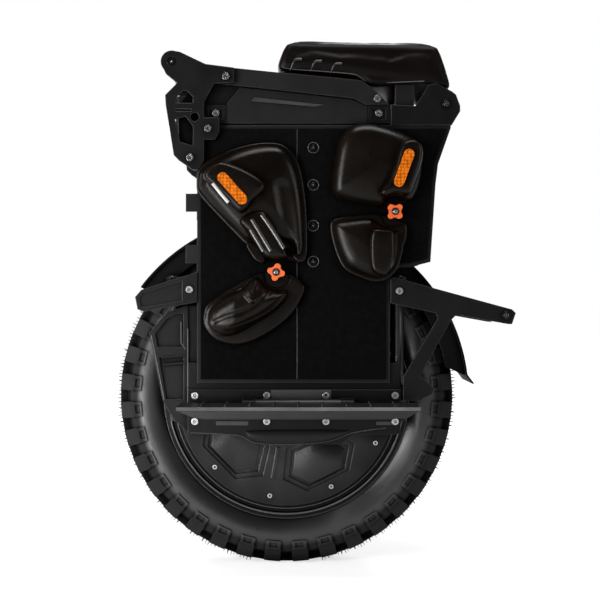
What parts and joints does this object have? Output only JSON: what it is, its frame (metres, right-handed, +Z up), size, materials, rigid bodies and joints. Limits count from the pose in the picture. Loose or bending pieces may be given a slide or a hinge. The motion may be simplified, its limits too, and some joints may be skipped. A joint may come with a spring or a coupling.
{
  "type": "electric unicycle",
  "caption": "Self-balancing electric unicycle with a sprung off-road wheel, folding pedals, clamped leg pads, carrying bars and a padded seat.",
  "frame": {"origin": "the point on the floor under the middle of the axle, where the tyre stands", "axes": "+X to the rear, +Z up, +Y to the rider's right; the left side, at -Y, is the one in the picture"},
  "size_m": [0.6055, 0.3946, 0.803],
  "materials": {
    "tyre_rubber": "matte",
    "black_alloy": "satin",
    "motor_grey": "satin",
    "pedal_alloy": "satin",
    "steel": "satin",
    "shaft_chrome": "polished",
    "black_screw": "satin",
    "black_plastic": "matte",
    "button_plastic": "satin",
    "grip_cloth": "matte",
    "strip_plastic": "gloss",
    "display_plastic": "gloss",
    "clear_lens": "polished",
    "red_lens": "gloss",
    "seat_leather": "satin",
    "pad_rubber": "satin",
    "reflector_orange": "gloss",
    "knob_orange": "satin"
  },
  "bodies": {
    "body": {"strut_bodies": "black_alloy", "guide_tubes": "black_alloy", "main_frame": "black_alloy", "battery_packs": "black_plastic", "controller": "black_alloy", "side_panel_left": "black_plastic", "side_panel_right": "black_plastic", "grip_sheets": "grip_cloth", "panel_bolts": "black_screw", "hanger_left": "black_alloy", "hanger_right": "black_alloy", "frame_screws": "steel", "upper_covers": "black_plastic", "light_strips": "strip_plastic", "corner_plates": "black_alloy", "top_rails": "black_alloy", "front_brackets": "black_alloy", "cross_bars": "black_alloy", "headlight_housing": "black_plastic", "headlight_lens": "clear_lens", "rear_brackets": "black_alloy", "tail_light": "red_lens", "top_cover": "black_plastic", "display": "display_plastic", "seat_base": "black_plastic", "seat_cushion": "seat_leather", "bumper_arms": "black_plastic", "leg_covers": "black_plastic", "rear_stands": "black_alloy", "pedal_hinge_pins": "steel", "front_upper_pads": "pad_rubber", "rear_upper_pads": "pad_rubber", "pad_frames": "black_plastic", "reflectors": "reflector_orange"},
    "carrier": {"axle": "steel", "stator": "steel", "axle_carriers": "black_alloy", "axle_nuts": "steel", "strut_shafts": "shaft_chrome", "front_fender": "black_plastic", "rear_mudguard": "black_plastic"},
    "wheel": {"tyre": "tyre_rubber", "rim": "black_alloy", "motor_cover_left": "motor_grey", "motor_cover_right": "motor_grey", "magnet_ring": "steel", "wheel_bearings": "steel", "motor_cover_screws": "steel", "valve_stem": "steel"},
    "pedal_left": {"pedal_left": "pedal_alloy"},
    "pedal_right": {"pedal_right": "pedal_alloy"},
    "front_lower_pad_left": {"front_lower_pad_left": "pad_rubber"},
    "front_lower_pad_right": {"front_lower_pad_right": "pad_rubber"},
    "rear_lower_pad_left": {"rear_lower_pad_left": "pad_rubber"},
    "rear_lower_pad_right": {"rear_lower_pad_right": "pad_rubber"},
    "front_knob_left": {"front_knob_left": "knob_orange"},
    "front_knob_right": {"front_knob_right": "knob_orange"},
    "rear_knob_left": {"rear_knob_left": "knob_orange"},
    "rear_knob_right": {"rear_knob_right": "knob_orange"},
    "power_button": {"power_button": "button_plastic"}
  },
  "joints": [
    {"name": "suspension_travel", "type": "slide", "parent": "body", "child": "carrier", "axis": [0, 0, 1], "range_m": [0, 0.08], "stiffness_N_per_m": 15000, "springref_m": -0.03},
    {"name": "wheel_spin", "type": "hinge", "parent": "carrier", "child": "wheel", "pos_m": [0, 0, 0.26], "axis": [0, 1, 0], "continuous": true},
    {"name": "pedal_left_fold", "type": "hinge", "parent": "body", "child": "pedal_left", "pos_m": [0.0185, -0.1093, 0.252], "axis": [-1, 0, 0], "range_deg": [0, 80]},
    {"name": "pedal_right_fold", "type": "hinge", "parent": "body", "child": "pedal_right", "pos_m": [0.0185, 0.1093, 0.252], "axis": [1, 0, 0], "range_deg": [0, 80]},
    {"name": "front_lower_pad_left_turn", "type": "hinge", "parent": "body", "child": "front_lower_pad_left", "pos_m": [-0.01443, -0.104, 0.45045], "axis": [0, 1, 0], "range_deg": [0, 12]},
    {"name": "front_knob_left_turn", "type": "hinge", "parent": "body", "child": "front_knob_left", "pos_m": [-0.01443, -0.104, 0.45045], "axis": [0, 1, 0], "continuous": true},
    {"name": "rear_lower_pad_left_turn", "type": "hinge", "parent": "body", "child": "rear_lower_pad_left", "pos_m": [0.16243, -0.104, 0.54047], "axis": [0, 1, 0], "range_deg": [-10, 10]},
    {"name": "rear_knob_left_turn", "type": "hinge", "parent": "body", "child": "rear_knob_left", "pos_m": [0.16243, -0.104, 0.54047], "axis": [0, 1, 0], "continuous": true},
    {"name": "front_lower_pad_right_turn", "type": "hinge", "parent": "body", "child": "front_lower_pad_right", "pos_m": [-0.01443, 0.104, 0.45045], "axis": [0, 1, 0], "range_deg": [0, 12]},
    {"name": "front_knob_right_turn", "type": "hinge", "parent": "body", "child": "front_knob_right", "pos_m": [-0.01443, 0.104, 0.45045], "axis": [0, 1, 0], "continuous": true},
    {"name": "rear_lower_pad_right_turn", "type": "hinge", "parent": "body", "child": "rear_lower_pad_right", "pos_m": [0.16243, 0.104, 0.54047], "axis": [0, 1, 0], "range_deg": [-10, 10]},
    {"name": "rear_knob_right_turn", "type": "hinge", "parent": "body", "child": "rear_knob_right", "pos_m": [0.16243, 0.104, 0.54047], "axis": [0, 1, 0], "continuous": true},
    {"name": "power_button_press", "type": "slide", "parent": "body", "child": "power_button", "axis": [0, 0, -1], "range_m": [0, 0.002], "stiffness_N_per_m": 400, "springref_m": -0.001}
  ]
}
